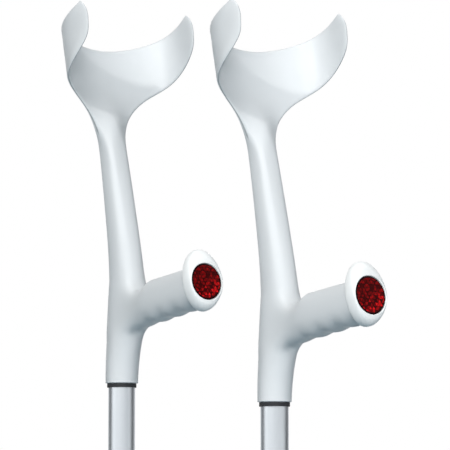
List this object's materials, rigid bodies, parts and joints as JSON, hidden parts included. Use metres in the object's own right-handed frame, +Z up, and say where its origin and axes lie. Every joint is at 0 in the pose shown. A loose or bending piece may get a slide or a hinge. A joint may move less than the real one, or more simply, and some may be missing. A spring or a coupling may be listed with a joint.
{
  "type": "pair of forearm crutches",
  "caption": "Two forearm crutches with open cuffs, moulded handles with red reflectors, height-adjustable aluminium tubes and rubber ferrules, standing side by side.",
  "frame": {"origin": "on the ground, under the middle of the pair's box", "axes": "+Z up along the tubes, -Y the way the handles point, +X to the user's left as they face along -Y"},
  "size_m": [0.1416, 0.3194, 1.0513],
  "materials": {
    "moulding_plastic": "smooth moulded grey-white plastic, low gloss",
    "cap_plastic": "smooth white plastic",
    "reflector_red": "clear red prismatic reflector",
    "reflector_backing": "dark backing disc",
    "seal_rubber": "dark rubber ring",
    "tube_aluminium": "satin anodised aluminium",
    "steel": "plain bright steel",
    "bush_plastic": "grey moulded plastic",
    "plug_plastic": "black moulded plastic",
    "ferrule_rubber": "grey-black moulded rubber"
  },
  "bodies": {
    "rear_upper": {"rear_cuff_and_handle": "moulding_plastic", "rear_grip_end_cap": "cap_plastic", "rear_reflector_lens": "reflector_red", "rear_reflector_back": "reflector_backing", "rear_socket_seal_ring": "seal_rubber", "rear_upper_tube": "tube_aluminium", "rear_socket_screw": "steel", "rear_guide_bush": "bush_plastic"},
    "rear_lower": {"rear_lower_tube": "tube_aluminium", "rear_lower_tube_plug": "plug_plastic", "rear_button_spring": "steel", "rear_ferrule": "ferrule_rubber", "rear_ferrule_washer": "steel"},
    "rear_button": {"rear_snap_button": "steel"},
    "front_upper": {"front_cuff_and_handle": "moulding_plastic", "front_grip_end_cap": "cap_plastic", "front_reflector_lens": "reflector_red", "front_reflector_back": "reflector_backing", "front_socket_seal_ring": "seal_rubber", "front_upper_tube": "tube_aluminium", "front_socket_screw": "steel", "front_guide_bush": "bush_plastic"},
    "front_lower": {"front_lower_tube": "tube_aluminium", "front_lower_tube_plug": "plug_plastic", "front_button_spring": "steel", "front_ferrule": "ferrule_rubber", "front_ferrule_washer": "steel"},
    "front_button": {"front_snap_button": "steel"}
  },
  "joints": [
    {"name": "rear_height", "type": "slide", "parent": "rear_lower", "child": "rear_upper", "axis": [0, 0, 1], "range_m": [-0.08, 0.16]},
    {"name": "rear_button_press", "type": "slide", "parent": "rear_lower", "child": "rear_button", "axis": [0, -1, 0], "range_m": [0, 0.0036], "stiffness_N_per_m": 2000, "springref_m": -0.002, "deforming": ["rear_button_spring"]},
    {"name": "front_crutch_sideways", "type": "slide", "parent": "rear_lower", "child": "front_lower", "axis": [1, 0, 0], "range_m": [0, 0.4]},
    {"name": "front_height", "type": "slide", "parent": "front_lower", "child": "front_upper", "axis": [0, 0, 1], "range_m": [-0.06, 0.18]},
    {"name": "front_button_press", "type": "slide", "parent": "front_lower", "child": "front_button", "axis": [0, -1, 0], "range_m": [0, 0.0036], "stiffness_N_per_m": 2000, "springref_m": -0.002, "deforming": ["front_button_spring"]}
  ]
}
